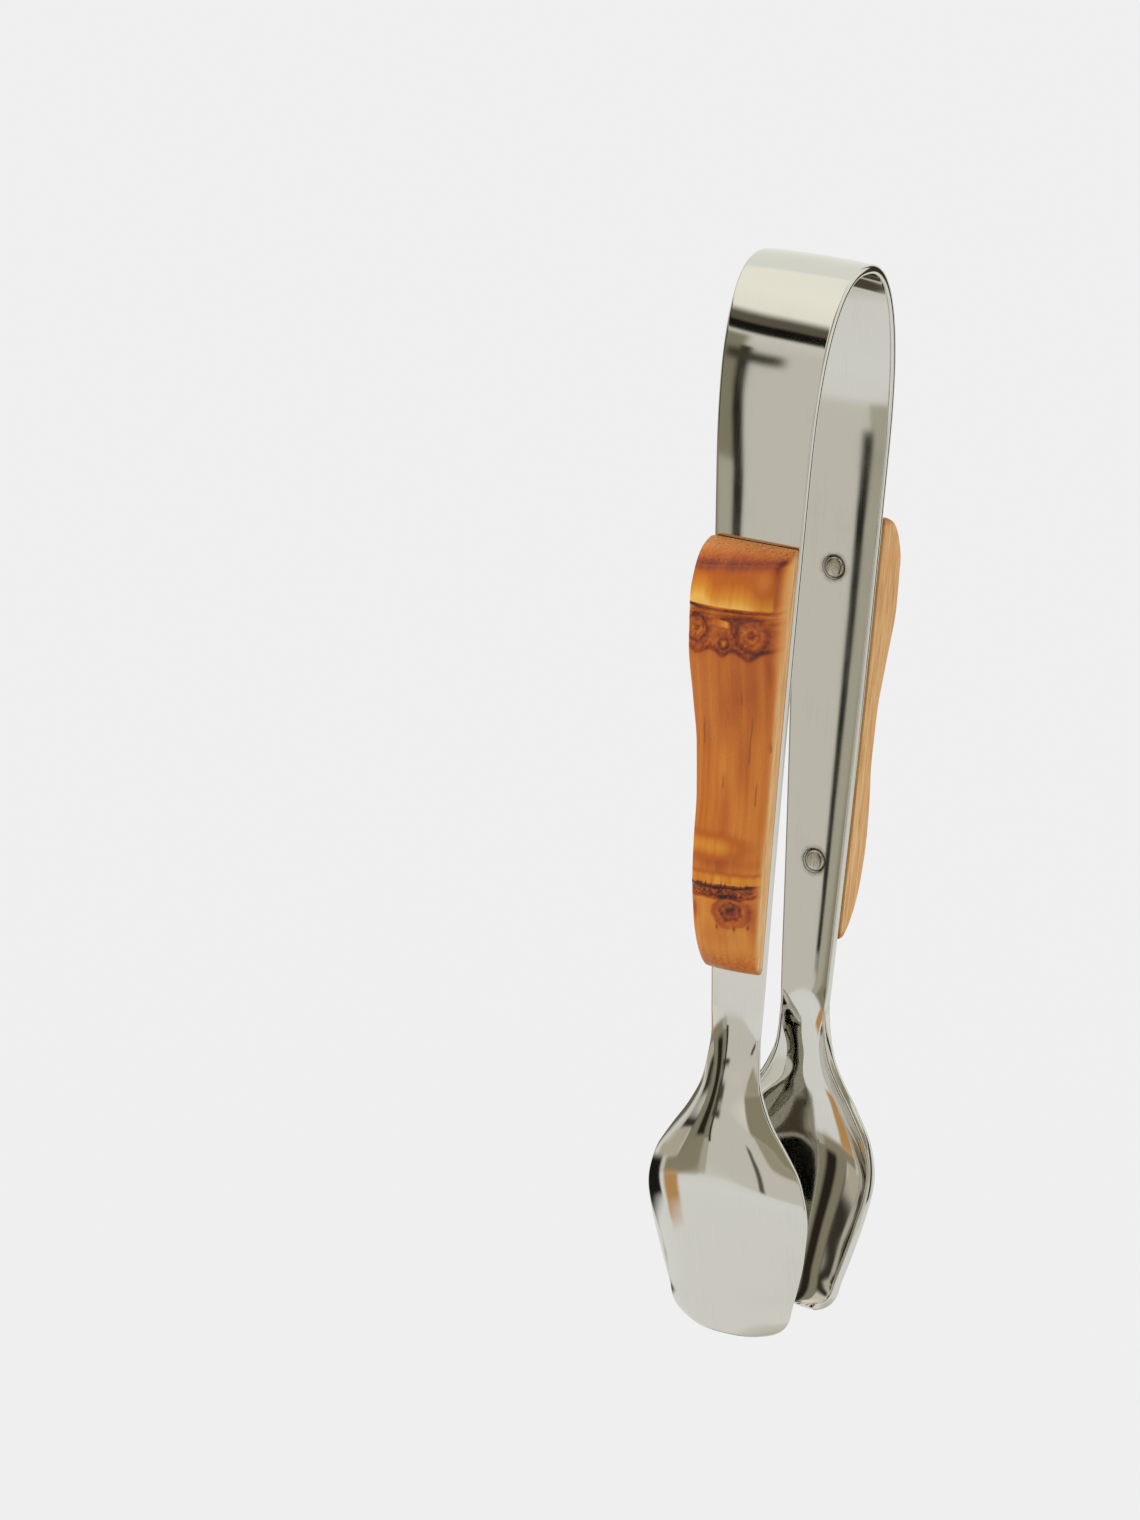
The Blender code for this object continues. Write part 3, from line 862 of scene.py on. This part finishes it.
    # smears darken the skin; the long ones on the -X edge are painted shade
    for place, up, reachAcross, reachUp, darker in marks["smearsAndEdgeShade"]:
        burn += darker * hump(a, place, reachAcross) * hump(h, up, reachUp) * (1 + 1.2 * streaks)
    cracks = np.zeros_like(h)
    for place, start, end, lean in marks["checks"]:
        wander = grainNoise(h * 0, h, 1, 1.1, seed + int(start)) - 0.5
        route = place + lean * (h - (start + end) / 2) + 0.22 * wander
        along = smoothstep(start, start + 0.8, h) * smoothstep(end, end - 2.0, h)
        cracks += np.exp(-((a - route) / 0.10) ** 2) * along
    relief -= 0.10 * cracks
    burn += 0.16 * smoothstep(68.5, 64.5, h) * (1 + 1.5 * grit)
    return relief, burn, glow, cracks


def gripRing(height, plan):
    # one section, round the back, low side, skin and high side, as
    # (across, rise over the back, skin share, share of the rise)
    width = float(halfWidth(np.array(height)))
    high = curveThrough(plan["highEdge"], height)
    low = curveThrough(plan["lowEdge"], height)
    end = min(height - plan["bottom"], plan["top"] - height)
    crown = plan["crown"] * math.sin(math.pi / 2 * min(1.0, 0.3 + end / plan["crownFade"]))
    turnIn = 1 - min(1.0, end / plan["endRound"])
    full = math.sqrt(1 - turnIn * turnIn)
    width -= 0.3 * (1 - full)
    fullness = 0.45 + 0.55 * full
    skinAt = lambda a: (high + (low - high) * (a / width + 1) / 2 + crown * (1 - (a / width) ** 2)) * fullness
    upper = float(smoothstep(108, 119, height))
    lowRound = min(plan["cornerRound"] + plan["upperRound"] * upper, 0.45 * skinAt(width))
    highRound = min(plan["cornerRound"], 0.45 * skinAt(-width))
    back = np.linspace(-width, width, plan["backColumns"])
    arc = np.radians(np.linspace(0, 90, plan["cornerColumns"] + 1))
    sideLow = np.linspace(0, skinAt(width) - lowRound, plan["sideColumns"])[1:-1]
    sideHigh = np.linspace(skinAt(-width) - highRound, 0, plan["sideColumns"])[1:-1]
    lowArcA = width - lowRound * (1 - np.cos(arc))
    highArcA = -width + highRound * (1 - np.cos(arc[::-1]))
    skin = np.linspace(width - lowRound, -width + highRound, plan["skinColumns"])[1:-1]
    across = np.concatenate([back, np.full(len(sideLow), width), lowArcA, skin, highArcA,
                             np.full(len(sideHigh), -width)])
    rise = np.concatenate([back * 0, sideLow, skinAt(lowArcA) - lowRound * (1 - np.sin(arc)), skinAt(skin),
                           skinAt(highArcA) - highRound * (1 - np.sin(arc[::-1])), sideHigh])
    # the skin's colour wraps over the low edge, and further down the side near the top
    lean = rise / skinAt(across)
    share = smoothstep(0.62 - 0.5 * upper, 0.92 - 0.3 * upper, lean)
    share[:len(back)] = 0
    share[len(back) + len(sideLow) + len(lowArcA):][:len(skin)] = 1
    highShare = np.concatenate([smoothstep(0.15, 0.75, np.sin(arc[::-1])), sideHigh * 0])
    share[-len(highShare):] = highShare
    return np.stack([across, rise, share, lean], -1)


def makeGrip(name, side, marks, material):
    inside = np.arange(grip["bottom"] + grip["endRound"], grip["top"] - grip["endRound"], grip["rowStep"])
    ends = grip["endRound"] * (1 - np.cos(np.radians(np.linspace(0, 90, 7))))[:-1]
    heights = np.concatenate([grip["bottom"] + ends, inside, grip["top"] - ends[::-1]])
    rings = np.stack([gripRing(h, grip) for h in heights])
    rows, columns = rings.shape[:2]
    across, rise, skin, lean = np.moveaxis(rings, -1, 0)
    tall = np.repeat(heights[:, None], columns, 1)
    back = lineAt(tall) + strip["thickness"] / 2 + pins["gap"]
    place = np.stack([across, -(back + rise), tall - strip["tipDrop"]], -1)
    around = np.roll(place, -1, 1) - np.roll(place, 1, 1)
    upward = np.gradient(place, axis=0)
    normal = np.cross(around, upward)
    normal /= np.linalg.norm(normal, axis=2)[..., None] + 1e-9
    relief, burn, glow, cracks = bambooMarks(across, tall, marks)
    burn = burn * (0.3 + 0.7 * smoothstep(0.55, 1.0, lean))
    ends = 1 - smoothstep(0.2, 1.6, np.minimum(tall - grip["bottom"], grip["top"] - tall))
    edgeFade = smoothstep(0.1, 1.5, halfWidth(tall) - np.abs(across))
    place = place + normal * (relief * skin * (0.12 + 0.88 * edgeFade) * (1 - ends))[..., None]
    flat = turned(place.reshape(-1, 3) * mm, side)
    faces = gridFaces(rows, columns, wrapped=True)[:, ::-1].tolist()
    faces.append(list(range(columns)))
    faces.append(list(range(rows * columns - 1, (rows - 1) * columns - 1, -1)))
    values = {"skin": skin, "burn": burn, "glow": glow, "cracks": cracks, "ends": ends}
    mesh = meshFrom(name, flat, faces, {label: data.ravel() for label, data in values.items()})
    mesh.shade_smooth()
    bm = bmesh.new()
    bm.from_mesh(mesh)
    bmesh.ops.recalc_face_normals(bm, faces=bm.faces)
    bm.to_mesh(mesh)
    bm.free()
    mesh.materials.append(material)
    mesh.set_sharp_from_angle(angle=math.radians(60))
    return newPiece(name, mesh)


# each ramp runs from little to much of what it reads: burn with painted shade, glow, fibre and pores
bambooTones = {
    "skin": [(0.0, "#D8A055"), (0.14, "#CC832C"), (0.30, "#BB681B"), (0.45, "#A6510F"), (0.60, "#8A390C"),
             (0.78, "#5E2408"), (0.95, "#301307")],
    "honey": [(0.15, "#9A4608"), (0.45, "#B45C0A"), (0.75, "#CC841F"), (1.0, "#DFAC50")],
    "sawn": [(0.50, "#A9713A"), (0.66, "#C58F50"), (0.82, "#D3A468"), (1.0, "#DDB983")],
    "ends": [(0.36, "#7E4013"), (0.46, "#A45E22"), (0.62, "#BC7E3B")],
    "crack": "#6E3512",
}


def flamedBamboo():
    # Moso bamboo, flame-toned and oiled: amber skin that darkens to a red brown where it was scorched and
    # where shade is painted into its creases, honey where the skin was kept bright, and pale straight fibres
    # where it was sawn and sanded
    material, tree, shader = newMaterial("moso bamboo, flame-toned and oiled")
    place = addNode(tree, "ShaderNodeTexCoord").outputs["Object"]
    read = {label: addNode(tree, "ShaderNodeAttribute", {"attribute_name": label}).outputs["Fac"]
            for label in ("skin", "burn", "glow", "cracks", "ends")}
    # fibre bundles are about 0.4 mm apart and run the length of the slip
    along = addNode(tree, "ShaderNodeMapping", None, {"Vector": place, "Scale": (2500, 2500, 90)})
    fibres = cloudy(tree, along, 1.0, 4.0, 0.65)
    long = addNode(tree, "ShaderNodeMapping", None, {"Vector": place, "Scale": (900, 900, 28)})
    streaks = cloudy(tree, long, 1.0, 3.0, 0.6)
    pores = cloudy(tree, place, 2600.0, 2.0, 0.7)
    grain = maths(tree, "MULTIPLY_ADD", fibres, 0.11, -0.055)
    # the burn values hold scorch and painted shade alike
    toned = maths(tree, "ADD", read["burn"], grain)
    dusty = maths(tree, "MULTIPLY_ADD", pores, 0.09, -0.045)
    toned = maths(tree, "ADD", toned, dusty)
    skinTone = ramp(tree, toned, bambooTones["skin"])
    honey = ramp(tree, maths(tree, "ADD", read["glow"], grain), bambooTones["honey"])
    bright = mapped(tree, read["glow"], 0.1, 0.45)
    notDarkened = mapped(tree, read["burn"], 0.36, 0.66, 1.0, 0.0)
    skinColour = layered(tree, maths(tree, "MULTIPLY", bright, notDarkened), skinTone, honey)
    sawn = ramp(tree, maths(tree, "MULTIPLY_ADD", streaks, 0.6, fibres), bambooTones["sawn"])
    colour = layered(tree, read["skin"], sawn, skinColour)
    endShare = maths(tree, "MULTIPLY", read["ends"], 0.75)
    colour = layered(tree, endShare, colour, ramp(tree, pores, bambooTones["ends"]))
    dark = maths(tree, "MULTIPLY", read["cracks"], 0.75, clamp=True)
    colour = layered(tree, dark, colour, linear(bambooTones["crack"]))
    tree.links.new(colour, shader.inputs["Base Color"])
    matt = maths(tree, "MULTIPLY_ADD", read["skin"], -0.24, 0.62)
    uneven = maths(tree, "MULTIPLY_ADD", pores, 0.14, matt)
    roughness = maths(tree, "MULTIPLY_ADD", read["burn"], 0.08, uneven)
    roughness = maths(tree, "SUBTRACT", roughness, 0.09)
    tree.links.new(roughness.outputs[0], shader.inputs["Roughness"])
    shader.inputs["Specular IOR Level"].default_value = 0.32
    shader.inputs["Coat Weight"].default_value = 0.08
    shader.inputs["Coat Roughness"].default_value = 0.2
    # fibres stand proud on the sawn faces and barely show on the skin
    sawnShare = maths(tree, "MULTIPLY_ADD", read["skin"], -0.75, 1.0)
    height = maths(tree, "MULTIPLY", fibres, sawnShare)
    height = maths(tree, "MULTIPLY_ADD", pores, 0.25, height)
    bump = addNode(tree, "ShaderNodeBump", None, {"Height": height, "Distance": 0.06 * mm})
    tree.links.new(bump.outputs[0], shader.inputs["Normal"])
    return material


def pinTree(material):
    # Geometry Nodes: a row of round pins, each with a domed head whose edge is broken and faintly turned
    tree, given = newGeometryTree("pin row", ("Radius", "Length", "Dome", "Edge break", "Turning marks"),
                                  ("Lower place", "Upper place", "Turn"))
    bar = addNode(tree, "GeometryNodeMeshCylinder", None,
                  {"Vertices": 96, "Side Segments": 4, "Fill Segments": 14, "Radius": given["Radius"],
                   "Depth": given["Length"]}).outputs["Mesh"]
    position = addNode(tree, "GeometryNodeInputPosition")
    spot = addNode(tree, "ShaderNodeSeparateXYZ", None, {0: position}).outputs
    flatSpot = addNode(tree, "ShaderNodeCombineXYZ", None, {"X": spot["X"], "Y": spot["Y"]})
    out = addNode(tree, "ShaderNodeVectorMath", {"operation": "LENGTH"}, {0: flatSpot}).outputs["Value"]
    share = maths(tree, "DIVIDE", out, given["Radius"])
    # the head falls away as a square, its edge is broken by a steep power, and the lathe leaves ripples
    dome = maths(tree, "MULTIPLY", maths(tree, "POWER", share, 2.0), given["Dome"])
    broken = maths(tree, "MULTIPLY_ADD", maths(tree, "POWER", share, 9.0), given["Edge break"], dome)
    wave = maths(tree, "SINE", maths(tree, "MULTIPLY", share, 26.0))
    drop = maths(tree, "MULTIPLY_ADD", wave, given["Turning marks"], broken)
    sink = addNode(tree, "ShaderNodeCombineXYZ", None, {"Z": maths(tree, "MULTIPLY", drop, -1.0)})
    top = addNode(tree, "FunctionNodeCompare", {"operation": "GREATER_THAN"}, {0: spot["Z"], 1: 0.0})
    lowered = addNode(tree, "GeometryNodeSetPosition", None,
                      {"Geometry": bar, "Selection": top, "Offset": sink})
    row = addNode(tree, "GeometryNodeMeshLine", {"mode": "END_POINTS"},
                  {"Count": 2, "Start Location": given["Lower place"], "Offset": given["Upper place"]})
    placed = addNode(tree, "GeometryNodeInstanceOnPoints", None,
                     {"Points": row, "Instance": lowered, "Rotation": given["Turn"]})
    return finishTree(tree, placed, material)


def makePins(name, side, tree):
    length = pins["proud"] + strip["thickness"] + pins["gap"] + pins["depth"]
    places = []
    for height in (pins["heights"]["lower"], pins["heights"]["upper"]):
        inner = float(lineAt(height)) - strip["thickness"] / 2 - pins["proud"]
        places.append((0, side * (inner + length / 2) * mm, (height - strip["tipDrop"]) * mm))
    piece = newPiece(name, bpy.data.meshes.new(name))
    row = piece.modifiers.new("row", "NODES")
    row.node_group = tree
    setInputs(row, {"Radius": pins["radius"] * mm, "Length": length * mm, "Dome": pins["dome"] * mm,
                    "Edge break": pins["edgeBreak"] * mm, "Turning marks": pins["turningMarks"] * mm,
                    "Lower place": places[0], "Upper place": places[1], "Turn": (side * math.pi / 2, 0, 0)})
    baked(piece)
    piece.data.shade_smooth()
    piece.data.set_sharp_from_angle(angle=math.radians(50))
    return piece


filedSteel = pinSteel()
pinRow = pinTree(filedSteel)
frontPins = makePins("front_pins", -1, pinRow)
rearPins = makePins("rear_pins", 1, pinRow)
for piece, leg, side in ((frontPins, "front_leg", "front"), (rearPins, "rear_leg", "rear")):
    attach(piece, leg)
    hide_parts(side + "_lower_pin", side + "_upper_pin")
print("pins ready")

bamboo = flamedBamboo()
frontGrip = makeGrip("front_grip_slip", -1, frontMarks, bamboo)
rearGrip = makeGrip("rear_grip_slip", 1, rearMarks, bamboo)
for piece, leg, node in ((frontGrip, "front_leg", "front_grip"), (rearGrip, "rear_leg", "rear_grip")):
    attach(piece, leg)
    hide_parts(node)
print("grips ready:", len(frontGrip.data.polygons), "faces each")
